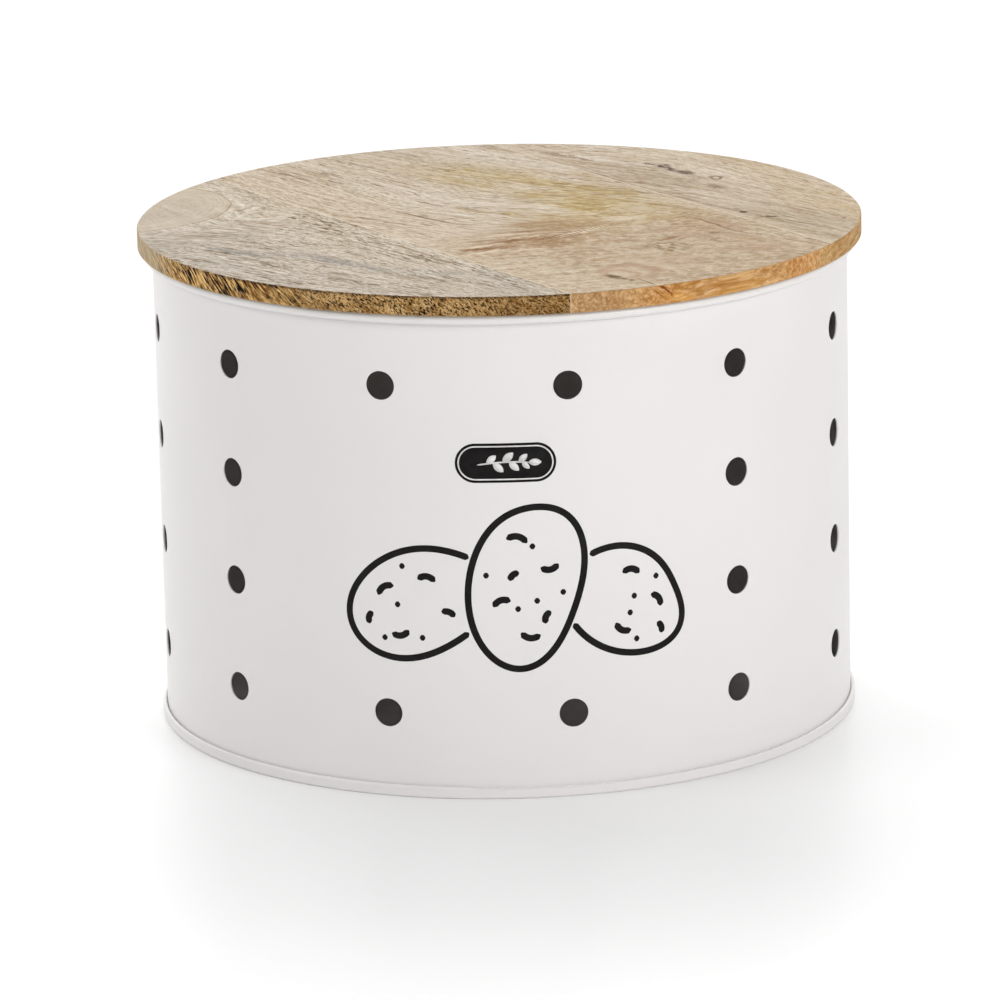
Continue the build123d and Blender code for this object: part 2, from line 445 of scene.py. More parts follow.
def slid(tree, place, over, up):
    """The place slid sideways and upwards by two masks or numbers."""
    return vector_math(tree, "ADD", place, vector_of(tree, 0.0, over, up))


def grain(tree, place, **sizes):
    """The plank grain at a place. A size that isn't given keeps the group's own value."""
    inputs = {name.replace("_", " ").title(): value for name, value in sizes.items()}
    outputs = put(tree, "Group", {"Place": place, **inputs}, node_tree=grain_group).outputs
    return {output.name: output for output in outputs}


def breaks(tree, place, length, width):
    """Ragged streaks that break a patch up, never quite to nothing."""
    ragged = ease(tree, noise(tree, stretched(tree, place, length, width), 1.0, 3, 0.65), 0.32, 0.58)
    return calc(tree, "MULTIPLY_ADD", ragged, 0.8, 0.2)


def side_mask(tree, parts):
    """1 on the lid's turned edge, 0 on its top."""
    radius = vector_length(tree, vector_of(tree, parts[0], parts[1], 0.0))
    return ease(tree, radius, lid_radius / MM - 0.45, lid_radius / MM - 0.2)


def unrolled_edge(tree, parts):
    """The lid's edge laid flat in millimetres, x round the lid and y up, and the angle round it."""
    angle = calc(tree, "ARCTAN2", parts[1], parts[0])
    arc = calc(tree, "MULTIPLY", angle, lid_radius / MM)
    height = calc(tree, "SUBTRACT", parts[2], lid_top / MM)
    return vector_of(tree, arc, height, 0.0), angle


def fibres(tree, tone, fibre, dark, light, pore, depth, dash_depth):
    """Streaks, flecks, dashes and pores drawn over a tone. The depths are their contrast."""
    for mark, amount in ((fibre["Streaks"], 0.9), (fibre["Flecks"], 0.7)):
        tone = tint(tree, tone, dark, ease(tree, mark, 0.50, 0.95), depth, amount)
        tone = tint(tree, tone, light, ease(tree, mark, 0.50, 0.05), depth, amount)
    tone = tint(tree, tone, pore, fibre["Dashes"], dash_depth)
    return tint(tree, tone, pore, fibre["Pores"], dash_depth, 0.5)


def lay(tree, tone, colour, amount, place, edge, patches, broken=1.0):
    """Figure patches of one colour laid over the tone."""
    return tint(tree, tone, colour, spots(tree, place, patches, edge), amount, broken)


def glue_line(tree, tone, over, glue, amount, colour):
    """A line about a millimetre wide along a glue plane."""
    line = ease(tree, calc(tree, "ABSOLUTE", calc(tree, "SUBTRACT", over, glue)), 0.9, 0.3)
    return tint(tree, tone, colour, line, amount)


def so_far(step, tree):
    """Tells how far a board's material has come."""
    print(step + ":", len(tree.nodes), "nodes so far")


def wood_finish(obj, material, tree, shader, colour, height, dull):
    """Joins colour, relief and gloss to the shader. Pores are dull and the rest is satin."""
    roughness = calc(tree, "MULTIPLY_ADD", dull, 0.15, 0.55)
    feed(tree, shader, colour, roughness, raised(tree, height, 0.5, 0.1 * MM))
    shader.inputs["Specular IOR Level"].default_value = 0.06
    dress(obj, material)
    print(material.name, "has", len(tree.nodes), "nodes")


# %% [markdown]
# ## Middle board
# The widest board holds the fork of a branch. Left of it the grain runs straight and pale, climbs a
# little where a yellow-ochre stain lies, then turns almost across the board in brown strokes. Past
# them the wood is smooth and pinkish, with a small knot near the edge. No single noise can turn so
# sharply without tearing, so there are two, a straight one and a turned one, and a soft mask with a
# ragged edge changes from one to the other. A short ladder of pale rungs crosses the turn, and the
# board's sawn edge has warm flames where the fibres come out of it at a slant.

# %% Middle board: place and grain
middle_wood, tree, shader = new_material("mango_middle")
place, parts = board_place(tree)
side = side_mask(tree, parts)
wavy = bent(tree, place, 22.0, 5.0)
wavy_parts = split(tree, wavy)
fine = bent(tree, place, 5.0, 5.0)
climb = calc(tree, "MULTIPLY_ADD", ease(tree, wavy_parts[1], -25.0, 45.0), 0.26, 0.06)
slope = share(tree, calc(tree, "ADD", wavy_parts[0], 40.0), climb, -1.0)
slope = calc(tree, "ADD", slope, share(tree, ease(tree, wavy_parts[0], -50.0, 25.0), -16.0))
straight_place = slid(tree, bent(tree, place, 70.0, 7.0), slope, share(tree, side, parts[0], 0.30))
turned_place = moved(tree, bent(tree, place, 45.0, 10.0), turn=math.radians(-64))
straight = grain(tree, straight_place, dash_start=0.60)
turned = grain(tree, turned_place, streak_length=24.0, dash_start=0.66)
ragged = split(tree, fine)[0]
ragged = calc(tree, "MULTIPLY_ADD", wavy_parts[1], 0.25, ragged)
fork = share(tree, ease(tree, ragged, -2.0, 22.0), ease(tree, wavy_parts[1], 56.0, 38.0))
top = {name: calc(tree, "ADD", share(tree, straight[name], less(tree, fork)),
                  share(tree, turned[name], fork)) for name in straight}
broken = breaks(tree, straight_place, 10.0, 2.4)
strokes = breaks(tree, turned_place, 16.0, 2.2)
grit = breaks(tree, fine, 3.0, 1.4)
so_far("middle board, place and grain", tree)

# %% Middle board: straight grain, stain and pale wood
past_fork = ease(tree, wavy_parts[0], 8.0, 50.0)
left_tone = blend(tree, top["Bands"], paint(193, 176, 151), paint(210, 195, 177))
right_tone = blend(tree, top["Bands"], paint(178, 154, 124), paint(193, 173, 144))
tone = blend(tree, past_fork, left_tone, right_tone)
front_strip = ease(tree, wavy_parts[1], -10.0, -34.0)
tone = tint(tree, tone, paint(203, 185, 160), front_strip, 0.6)
tone = lay(tree, tone, paint(160, 146, 126), 0.75, fine, 0.7, (
    (-104, 28, 24, 4, 8, 0.8), (-88, 7, 22, 1.6, 4, 0.5), (-60, 24, 22, 3, 10, 0.4),
    (60, -12, 6, 3, 0, 0.5), (-100, 36, 16, 1.6, 8, 0.5), (-84, -14, 16, 1.4, 0, 0.4)), broken)
tone = lay(tree, tone, paint(189, 166, 114), 0.5, wavy, 0.9, (
    (-20, 38, 50, 17, 8, 0.9), (12, 24, 30, 16, 0, 0.8), (-50, 20, 24, 7, 5, 0.6)))
tone = lay(tree, tone, paint(191, 166, 104), 0.95, wavy, 0.9, (
    (-20, 44, 46, 14, 10, 0.7), (4, 32, 26, 14, 0, 0.9), (22, 16, 12, 16, 0, 0.7), (24, 44, 16, 12, 0, 0.6),
    (-60, 26, 34, 8, 6, 0.5)), broken)
tone = lay(tree, tone, paint(173, 143, 60), 0.95, fine, 0.7, (
    (-38, 61, 9, 2.5, 0, 0.8), (-5, 59, 7, 2.5, -25, 0.9), (-36, 44, 15, 3.4, 14, 1.0),
    (-17, 50, 17, 4.4, 18, 0.9), (-74, 31, 7, 3.5, 10, 0.9), (-50, 38, 16, 4.5, 14, 0.5),
    (-22, 30, 5.5, 8, 0, 0.8), (5, 34, 14, 8.5, -8, 1.0), (-11, 40, 10, 5, 0, 0.9), (1, 5, 6, 2.2, 10, 0.9),
    (20, 15, 8, 8, 0, 0.6), (33, 38, 6, 6, 0, 0.6), (30, 53, 5, 3, 0, 0.6), (-62, 18, 20, 4, 8, 0.4),
    (-14, -3, 8, 2.4, 10, 0.6), (22, 52, 18, 3, 12, 0.6)), broken)
tone = lay(tree, tone, paint(220, 208, 192), 0.75, fine, 0.8, (
    (-38, 53, 11, 4.5, 10, 0.9), (-35, 35, 9, 3.5, 12, 0.7), (22, 47, 10, 4, 14, 0.5),
    (-1, 19, 12, 5, 10, 0.9), (-95, 50, 30, 8, 8, 0.7), (-20, 14, 20, 4, 10, 0.5), (-60, 58, 26, 4, 5, 0.6),
    (-40, -10, 40, 8, 0, 0.4)))
so_far("middle board, straight grain, stain and pale wood", tree)

# %% Middle board: fork
tone = lay(tree, tone, paint(171, 136, 92), 0.9, wavy, 0.9, (
    (40, -8, 18, 22, 0, 0.8), (28, 10, 16, 18, 0, 0.6), (48, -24, 8, 14, 0, 0.7), (48, 48, 20, 10, 0, 0.4),
    (70, -12, 16, 9, 0, 0.5)))
depth = calc(tree, "MULTIPLY_ADD", past_fork, -0.17, 0.52)
tone = fibres(tree, tone, top, paint(151, 122, 84), paint(226, 216, 200), paint(109, 75, 13), depth, 0.80)
stain = spots(tree, wavy, (
    (-18, 46, 50, 13, 10, 0.9), (6, 32, 24, 13, -6, 1.0), (-60, 30, 30, 7, 6, 0.6)), 0.8)
threads = noise(tree, stretched(tree, straight_place, 5.0, 0.9), 1.0, 3, 0.65)
tone = tint(tree, tone, paint(142, 107, 13), stain, ease(tree, threads, 0.51, 0.64), 0.85)
tone = tint(tree, tone, paint(220, 207, 171), stain, ease(tree, threads, 0.46, 0.34), 0.65)
tone = lay(tree, tone, paint(137, 94, 19), 0.9, fine, 0.6, (
    (32, -9, 7, 5.5, 25, 0.9), (46, -10, 6, 9, -10, 0.8), (19, 3, 5, 12, -18, 0.6),
    (30, 12, 4, 14, -8, 0.5), (44, 0, 4, 9, -10, 0.6), (38, -20, 3, 10, -20, 0.6),
    (34, 22, 3, 10, -8, 0.5)), strokes)
tone = lay(tree, tone, paint(126, 78, 13), 0.95, fine, 0.5, (
    (40.5, -33, 1.7, 9.5, -8, 1.0), (36.5, -17, 1.6, 9, -10, 0.9), (40.5, -3, 1.9, 9, -6, 0.9),
    (44, -27, 1.2, 8, -4, 0.7), (31, -24, 0.9, 8, -16, 0.6), (26, -7, 0.9, 9, -24, 0.6),
    (37, 9, 1.1, 7, -10, 0.6)))
tone = lay(tree, tone, paint(220, 204, 179), 0.85, fine, 0.6, (
    (37.4, -30, 1.3, 7, -8, 0.9), (46.5, -34, 1.4, 7, -5, 0.9), (28, -12, 2.0, 9, -20, 0.7),
    (33.5, -10, 1.3, 6, -5, 0.7), (30, 33, 2.6, 8, -12, 0.7), (51, -22, 1.6, 8, -6, 0.5)))
ladder = put(tree, "TexWave", {"Vector": wavy, "Scale": 0.155, "Distortion": 1.2, "Detail": 1.0},
             bands_direction="Y").outputs["Fac"]
rungs = ease(tree, ladder, 0.3, 0.6)
tone = lay(tree, tone, paint(224, 211, 188), 0.75, fine, 0.6, (
    (38.5, 8.5, 1.8, 12.5, 11.5, 1.0), (32, 30, 1.6, 10, 14, 0.4)), rungs)
so_far("middle board, fork", tree)

# %% Middle board: smooth side, knot and cracks
mottle = noise(tree, bent(tree, place, 8.0, 4.0), 1 / 3.4, 4, 0.7)
tone = tint(tree, tone, paint(151, 121, 84), past_fork, ease(tree, mottle, 0.50, 0.66), 0.55)
tone = tint(tree, tone, paint(216, 199, 176), past_fork, ease(tree, mottle, 0.48, 0.34), 0.55)
tone = lay(tree, tone, paint(169, 137, 104), 0.6, wavy, 0.8, (
    (92, 44, 14, 9, -10, 0.9), (56, 54, 16, 4, 3, 0.9), (62, 36, 10, 12, 0, 0.4),
    (95, 8, 20, 12, 0, 0.4)), strokes)
knot_place = bent(tree, place, 7.0, 6.0)
knot = calc(tree, "MAXIMUM", ring(tree, knot_place, (100.5, -13), (11.5, 10.0, -20), 1.8),
            ring(tree, knot_place, (102, -17), (7.0, 5.6, -10), 1.3))
tone = lay(tree, tone, paint(213, 194, 169), 0.7, knot_place, 0.5, (
    (101, -14, 9.6, 8.2, -20, 1.0), (96, 0, 12, 3, 10, 0.7)))
tone = tint(tree, tone, paint(149, 97, 41), knot, 0.75)
eyelet = ring(tree, bent(tree, place, 4.0, 3.0), (76, 20.5), (7.2, 5.4, 40), 1.0)
tone = tint(tree, tone, paint(112, 89, 32), eyelet, grit, 0.75)
tone = lay(tree, tone, paint(164, 137, 107), 0.5, fine, 0.6, (
    (101, -10, 11, 8, -20, 1.0), (94, 0, 10, 4, 20, 0.6)), grit)
tone = lay(tree, tone, paint(155, 104, 60), 0.8, fine, 0.5, (
    (66, 27, 1.2, 4.4, 22, 1.0), (58, 12, 1.0, 6, -10, 0.6)))
tone = lay(tree, tone, paint(114, 84, 26), 0.75, bent(tree, place, 3.0, 2.6), 0.6, (
    (68, 44, 1.6, 2.0, 0, 0.9), (78, 37, 3.5, 1.2, 10, 0.8), (65, 27, 2.2, 3.0, 20, 0.8),
    (48, 41, 1.4, 1.4, 0, 0.8), (71, 20, 2.0, 0.8, 30, 1.0), (75, 22, 2.0, 0.8, -20, 1.0),
    (79, 19, 2.0, 0.9, 20, 1.0), (74, 17, 1.7, 0.7, 0, 1.0), (78, 15, 2.1, 0.8, -10, 1.0),
    (82, 16, 1.6, 0.8, 15, 1.0), (70, 16, 1.5, 1.0, 0, 0.8), (76, 25, 1.7, 0.6, 30, 0.9),
    (72, 13, 1.7, 0.6, 10, 0.9), (84, 20, 1.2, 0.8, 0, 0.8), (67, 22, 1.2, 0.9, 60, 0.8),
    (55, 17, 3.0, 1.0, 50, 0.8), (-12, 21, 1.6, 2.2, 0, 0.5), (9, 30, 1.0, 2.0, 0, 0.7),
    (-2, 3.5, 2.5, 0.8, 25, 0.9), (60, -25, 3, 0.9, 0, 0.5)), grit)
tone = lay(tree, tone, paint(89, 69, 13), 0.95, bent(tree, place, 3.0, 2.2), 0.7, (
    (103.6, -21.2, 3.4, 1.8, 4, 1.0), (108.6, -20.2, 1.6, 0.8, 14, 0.9), (111.4, -19.0, 1.0, 0.8, 0, 1.0)))
tone = lay(tree, tone, paint(109, 78, 19), 0.9, wavy, 0.6, (
    (-13, -21, 17, 0.5, 10, 1.0), (4.5, -16.6, 2.6, 0.5, 45, 0.9), (-17, -1.5, 6, 0.45, 12, 0.8),
    (-32, -8, 9, 0.35, 5, 0.5), (58, 51.5, 17, 0.5, 1, 0.8), (40, 49, 0.5, 6, 0, 0.5),
    (-55, 15.5, 7, 0.4, 5, 0.6), (117, -17, 5, 0.35, 0, 0.9), (26, -4, 0.5, 8, -25, 0.5),
    (-70, 3, 12, 0.35, 2, 0.6), (-90, -22, 14, 0.35, 1, 0.6)))
so_far("middle board, smooth side, knot and cracks", tree)

# %% Middle board: edge and finish
edge = grain(tree, straight_place, streak_length=60.0, streak_width=2.2,
             dash_length=12.0, dash_width=0.8, dash_start=0.65)
edge_tone = blend(tree, edge["Bands"], paint(178, 132, 76), paint(208, 166, 114))
flame = noise(tree, stretched(tree, bent(tree, straight_place, 16.0, 5.0), 11.0, 2.2), 1.0, 3, 0.6)
edge_tone = tint(tree, edge_tone, paint(184, 126, 66), ease(tree, flame, 0.50, 0.66), 0.4)
edge_tone = tint(tree, edge_tone, paint(230, 193, 144), ease(tree, flame, 0.50, 0.36), 0.5)
edge_tone = lay(tree, edge_tone, paint(194, 122, 56), 0.4, place, 0.7, (
    (124.5, -13.5, 3.2, 9, 0, 0.8), (124.5, 10, 3, 14, 0, 0.4), (114, 46, 14, 9, 0, 1.0)))
edge_tone = lay(tree, edge_tone, paint(183, 150, 98), 0.6, place, 0.6, ((107, 63, 12, 6, 0, 1.0),))
edge_tone = lay(tree, edge_tone, paint(167, 132, 94), 0.85, place, 0.8, ((118, -40, 14, 13, 0, 1.0),))
level_edge = vector_of(tree, parts[1], calc(tree, "SUBTRACT", parts[2], lid_top / MM), 0.0)
edge_tone = fibres(tree, edge_tone, edge, paint(153, 102, 45), paint(224, 185, 134),
                   paint(128, 81, 28), 0.6, 0.5)
edge_tone = lay(tree, edge_tone, paint(224, 167, 85), 0.5, level_edge, 0.8, (
    (-9, -4.8, 5, 1.3, -10, 1.0), (16, -5.2, 12, 1.0, 4, 0.6)))
edge_tone = lay(tree, edge_tone, paint(124, 55, 13), 0.95, bent(tree, level_edge, 2.0, 0.7), 0.5, (
    (-13.6, -2.0, 2.4, 0.34, -40, 1.0), (-15.2, -0.8, 1.3, 0.45, -20, 1.0),
    (-12.2, -3.6, 1.0, 0.2, -64, 0.9), (-17.0, -2.6, 3.2, 0.16, -38, 0.8), (-11.4, -1.6, 2.0, 0.2, 62, 0.5),
    (-8.0, -4.6, 3.4, 0.14, 12, 0.5), (4, -3.6, 5, 0.12, 14, 0.5), (-34, -4.5, 3, 0.12, -6, 0.3),
    (30, -2.4, 6, 0.12, 3, 0.4)))
tone = blend(tree, side, tone, edge_tone)
for glue, hidden in ((front_glue, 0.45), (back_glue, 1.0)):
    amount = share(tree, less(tree, share(tree, side, hidden)), 0.65)
    tone = glue_line(tree, tone, parts[1], glue, amount, paint(220, 203, 175))
wood_finish(nodes["lid_board_middle"], middle_wood, tree, shader, tone, top["Height"], top["Pores"])

# %% [markdown]
# ## Front board
# The nearest board is greyer, and its fibres wander. At the far left a side branch leaves a smooth
# round patch with rings of its own, drawn from the distance to the branch's middle. The fibres
# beside it bend a little towards its curve, so there a share of the place across the board is
# taken from that same distance. More than a third would bunch them up into swirls. Its sawn edge is
# the darkest of the lid, with black streaks that turn into dots as the cut turns across the grain.

# %% Front board: place and grain
front_wood, tree, shader = new_material("mango_front")
place, parts = board_place(tree)
side = side_mask(tree, parts)
wavy = bent(tree, place, 18.0, 8.0)
wavy_parts = split(tree, wavy)
fine = bent(tree, place, 5.0, 5.0)
BRANCH_MIDDLE = (-95.0, -100.0, 0.0)
BRANCH_RADIUS = 41.5
swayed = vector_math(tree, "MULTIPLY", bent(tree, place, 24.0, 4.0), (1, 1, 0))
branch = put(tree, "VectorMath", [swayed, BRANCH_MIDDLE], operation="DISTANCE").outputs["Value"]
inside = ease(tree, branch, BRANCH_RADIUS + 0.6, BRANCH_RADIUS - 0.6)
outside = less(tree, share(tree, inside, 0.55))
climb = calc(tree, "MULTIPLY_ADD", ease(tree, wavy_parts[1], -50.0, -82.0), 0.26, 0.05)
calm = bent(tree, place, 50.0, 9.0)
calm_parts = split(tree, calm)
sloping = calc(tree, "SUBTRACT", calm_parts[1], share(tree, calm_parts[0], climb))
beside = share(tree, ease(tree, branch, BRANCH_RADIUS + 32.0, BRANCH_RADIUS), 0.3)
round_branch = calc(tree, "ADD", branch, BRANCH_MIDDLE[1])
over = calc(tree, "ADD", share(tree, sloping, less(tree, beside)), share(tree, round_branch, beside))
flow = vector_of(tree, calm_parts[0], over, calm_parts[2])
top = grain(tree, flow, streak_length=23.0, streak_width=1.25,
            dash_length=4.8, dash_width=0.62, dash_start=0.57)
grit = breaks(tree, fine, 3.0, 1.4)
so_far("front board, place and grain", tree)

# %% Front board: colours of the top
nearness = ease(tree, parts[1], -50.0, -100.0)
warm = blend(tree, top["Bands"], paint(193, 176, 152), paint(210, 197, 177))
cool = blend(tree, top["Bands"], paint(179, 166, 149), paint(199, 187, 173))
tone = blend(tree, nearness, warm, cool)
tone = lay(tree, tone, paint(169, 163, 153), 0.7, wavy, 0.8, (
    (88, -54, 26, 9, -8, 1.0), (62, -68, 18, 6, 30, 0.8), (0, -114, 45, 8, 0, 0.7),
    (10, -102, 30, 6, 12, 0.4)))
tone = lay(tree, tone, paint(207, 192, 173), 0.6, wavy, 0.8, (
    (28, -91, 24, 4, 12, 0.9), (70, -84, 22, 6, 20, 0.6), (-20, -70, 24, 6, 0, 0.7),
    (30, -68, 34, 5, 12, 0.9)))
curl = noise(tree, stretched(tree, bent(tree, flow, 6.0, 4.5), 5.0, 1.6), 1.0, 3, 0.6)
curly = ease(tree, curl, 0.50, 0.70)
away = calc(tree, "SUBTRACT", outside, share(tree, beside, 1.8))
tone = tint(tree, tone, paint(135, 114, 86), curly, away, 0.12)
tone = tint(tree, tone, paint(222, 212, 199), ease(tree, curl, 0.47, 0.30), away, 0.16)
tone = fibres(tree, tone, top, paint(143, 122, 94), paint(228, 219, 206), paint(109, 85, 45),
              share(tree, outside, 0.66), share(tree, away, 0.95))
tone = lay(tree, tone, paint(131, 127, 119), 0.85, fine, 0.7, (
    (-4, -100, 15, 1.8, 18, 1.0), (-14, -104, 7, 1.2, 16, 1.0), (26, -82, 15, 3.0, 14, 1.0),
    (44, -78, 8, 2.2, 10, 0.8), (8, -90, 9, 2.4, 18, 0.6), (64, -62, 7, 1.8, 30, 0.7),
    (-30, -88, 10, 1.6, 40, 0.5)), grit)
so_far("front board, colours of the top", tree)

# %% Front board: branch, dashes and ripples
rings = vector_of(tree, share(tree, parts[0], 0.12), share(tree, branch, 1.1), 0.0)
rings = noise(tree, rings, 1.0, 2, 0.6)
branch_tone = blend(tree, ease(tree, rings, 0.35, 0.65), paint(179, 162, 135), paint(202, 188, 169))
branch_tone = lay(tree, branch_tone, paint(166, 149, 124), 0.6, fine, 0.8, (
    (-86, -73, 12, 5, -28, 1.0), (-74, -99, 5, 14, 0, 0.8), (-98, -62, 12, 3, 10, 0.5)))
tone = tint(tree, tone, branch_tone, inside, 0.55)
bank = share(tree, ease(tree, branch, BRANCH_RADIUS + 7.0, BRANCH_RADIUS), less(tree, inside))
tone = tint(tree, tone, paint(213, 201, 184), bank, 0.35)
rim_line = ease(tree, calc(tree, "ABSOLUTE", calc(tree, "SUBTRACT", branch, BRANCH_RADIUS + 0.2)), 0.8, 0.1)
tone = tint(tree, tone, paint(146, 114, 69), rim_line, grit, 0.7)
tone = lay(tree, tone, paint(104, 78, 32), 0.9, bent(tree, place, 6.0, 3.0), 0.55, (
    (-29, -53, 2.4, 0.7, 12, 1.0), (-24, -54.5, 2.6, 0.7, -6, 1.0), (-19, -53, 2.0, 0.6, 8, 0.9),
    (-27, -57, 3.0, 0.7, 8, 1.0), (-20, -58, 2.6, 0.7, 5, 1.0), (-14, -56, 2.2, 0.7, 8, 0.9),
    (-24, -61, 2.6, 0.7, 14, 0.9), (-33, -58, 2.2, 0.6, 10, 0.8), (-16, -61, 2.4, 0.6, 5, 0.8),
    (-7, -54, 2.6, 0.7, 5, 0.8), (3, -53, 3.0, 0.7, 8, 0.8), (12, -56, 3.6, 0.7, 4, 0.8),
    (37, -57.5, 17, 0.8, 6, 1.0), (26, -52.5, 14, 0.7, 3, 0.7), (48, -53, 10, 0.7, 9, 0.8),
    (14, -60, 8, 0.7, 6, 0.6), (44, -62, 9, 0.7, 14, 0.6), (-44, -72, 8, 0.7, 20, 0.5),
    (-63, -66, 5, 0.9, -40, 0.7), (76, -67, 12, 0.8, 28, 0.6), (88, -62, 10, 0.8, 20, 0.5),
    (66, -72, 9, 0.7, 20, 0.5)), grit)
so_far("front board, branch, dashes and ripples", tree)

# %% Front board: edge and finish
flat_edge, angle = unrolled_edge(tree, parts)
slanted = moved(tree, bent(tree, flat_edge, 14.0, 3.0), turn=math.radians(40))
end_grain = ease(tree, angle, math.radians(-74), math.radians(-56))
lines = grain(tree, slanted, streak_length=12.0, streak_width=1.3,
              dash_length=5.5, dash_width=0.62, dash_start=0.52)
dots = grain(tree, slanted, streak_length=5.0, streak_width=1.8,
             dash_length=1.1, dash_width=0.5, dash_start=0.50, crowding=0.2)
line_tone = blend(tree, lines["Bands"], paint(147, 102, 40), paint(217, 174, 106))
line_tone = fibres(tree, line_tone, lines, paint(78, 34, 13), paint(242, 200, 134),
                   paint(13, 13, 13), 1.0, 1.0)
dot_tone = blend(tree, dots["Bands"], paint(151, 110, 54), paint(196, 156, 100))
dot_tone = fibres(tree, dot_tone, dots, paint(102, 65, 13), paint(224, 189, 136),
                  paint(13, 13, 13), 0.7, 0.95)
edge_tone = blend(tree, end_grain, line_tone, dot_tone)
seam_end = ease(tree, angle, math.radians(-42), math.radians(-30))
edge_tone = tint(tree, edge_tone, paint(107, 72, 24), seam_end, 0.4)
# Painted shade: a thin dark line is painted along the top of the front board's edge, just under the arris.
# Grit breaks it up, and it is kept off the paler stretch beside it.
arris_shade_line = ease(tree, calc(tree, "SUBTRACT", parts[2], lid_top / MM), -1.1, -0.3)
ahead_of_bleach = ease(tree, angle, math.radians(-100), math.radians(-80))
edge_tone = tint(tree, edge_tone, paint(42, 13, 13), arris_shade_line, ahead_of_bleach, grit, 0.7)
bleach = ease(tree, angle, math.radians(-92), math.radians(-104))
edge_tone = tint(tree, edge_tone, paint(187, 171, 142), bleach, 0.66)
tone = blend(tree, side, tone, edge_tone)
wood_finish(nodes["lid_board_front"], front_wood, tree, shader, tone, top["Height"], top["Pores"])

# %% [markdown]
# ## Back board
# The far board is the calmest, a warm pale plank with fine streaks that climb towards the glue line.
# Its marks are few: a purple mineral crack, a small eye beside it, a haze of grey heartwood, some
# dark pores and a wormhole close to the glue.

# %% Back board: place, grain and colours of the top
back_wood, tree, shader = new_material("mango_back")
place, parts = board_place(tree)
side = side_mask(tree, parts)
wavy = bent(tree, place, 24.0, 6.0)
wavy_parts = split(tree, wavy)
fine = bent(tree, place, 5.0, 5.0)
climb = calc(tree, "MULTIPLY_ADD", ease(tree, wavy_parts[1], 102.0, 72.0), 0.26, 0.10)
slope = share(tree, calc(tree, "ADD", wavy_parts[0], 20.0), climb, -1.0)
flow = slid(tree, bent(tree, place, 70.0, 8.0), slope, 0.0)
top = grain(tree, flow, dash_start=0.60)
broken = breaks(tree, flow, 10.0, 2.4)
grit = breaks(tree, fine, 3.0, 1.4)
tone = blend(tree, top["Bands"], paint(189, 170, 142), paint(207, 191, 169))
tone = lay(tree, tone, paint(197, 171, 128), 0.65, wavy, 0.8, (
    (70, 100, 40, 9, 0, 1.0), (30, 112, 40, 8, 0, 0.7), (-20, 118, 40, 6, 0, 0.6)))
tone = lay(tree, tone, paint(166, 149, 121), 0.75, wavy, 0.8, (
    (-28, 80, 36, 9, 6, 1.0), (-24, 73, 20, 5, 0, 0.7), (64, 82, 26, 9, 10, 0.7), (76, 73, 26, 5, 0, 0.8)))
tone = lay(tree, tone, paint(222, 211, 199), 0.8, fine, 0.8, (
    (-62, 79, 14, 3.5, 12, 0.9), (-84, 90, 20, 4, 10, 0.7), (-50, 100, 34, 5, 5, 0.5),
    (22, 80, 16, 5, 15, 0.4)), broken)
tone = lay(tree, tone, paint(158, 117, 78), 0.65, fine, 0.8, (
    (-58, 71, 7, 2.6, 10, 0.9), (-50, 77, 7, 2.6, 15, 0.6), (58, 87, 6, 3, 0, 0.9),
    (-74, 73, 5, 2, 20, 0.5)), grit)
tone = fibres(tree, tone, top, paint(153, 126, 89), paint(224, 213, 197), paint(119, 86, 32), 0.50, 0.65)
tone = lay(tree, tone, paint(117, 84, 49), 0.8, bent(tree, place, 4.0, 4.0), 0.6, (
    (-76, 73, 8, 1.8, 15, 1.0), (-64, 76, 5, 1.0, 10, 0.8), (-92, 77, 6, 0.8, 15, 0.9),
    (-86, 85, 5, 0.7, 10, 0.7), (5, 87, 4, 2.4, 0, 0.9), (-9, 88, 6, 1.8, -60, 0.5),
    (58, 73, 3.6, 1.3, 50, 1.0), (76, 91.5, 1.6, 0.9, -20, 1.0)), grit)
so_far("back board, place, grain and colours of the top", tree)

# %% Back board: crack, eye, wormhole and lines
crack = share(tree, grit, spots(tree, bent(tree, place, 3.0, 2.6), (
    (-41, 90.4, 3.0, 1.1, 10, 0.9), (-34.5, 91.4, 4.0, 2.0, 6, 1.0), (-28, 90.8, 3.6, 1.5, -6, 1.0),
    (-21, 91.8, 4.6, 2.4, 6, 0.9), (-36, 93.6, 3.0, 1.0, 10, 0.8)), 0.45))
tone = tint(tree, tone, paint(66, 13, 13), crack, 0.97)
tone = lay(tree, tone, paint(112, 102, 53), 0.6, fine, 0.5, ((-22, 92.4, 3.6, 1.2, 0, 1.0),), grit)
tone = tint(tree, tone, paint(119, 92, 72), ring(tree, fine, (-6.5, 95.5), (3.0, 2.4, -30), 1.2), 0.9)
hole = spots(tree, place, (
    (46.7, 70.3, 1.5, 1.4, 0, 1.0), (58.5, 73.6, 2.2, 0.8, 50, 0.8), (41, 71.6, 1.2, 0.5, 20, 0.6)), 0.3)
tone = tint(tree, tone, paint(19, 13, 13), hole, 0.97)
tone = lay(tree, tone, paint(117, 81, 19), 0.7, wavy, 0.8, (
    (-28, 66.6, 42, 0.9, 0, 0.7), (24, 68.4, 26, 1.2, 4, 0.9), (52, 71.4, 18, 1.0, 5, 0.8),
    (10, 70, 14, 0.8, 8, 0.7), (70, 76, 20, 0.8, 8, 0.6), (-40, 69, 20, 0.8, 4, 0.6),
    (-5, 72, 22, 0.9, 8, 0.5)), grit)
so_far("back board, crack, eye, wormhole and lines", tree)

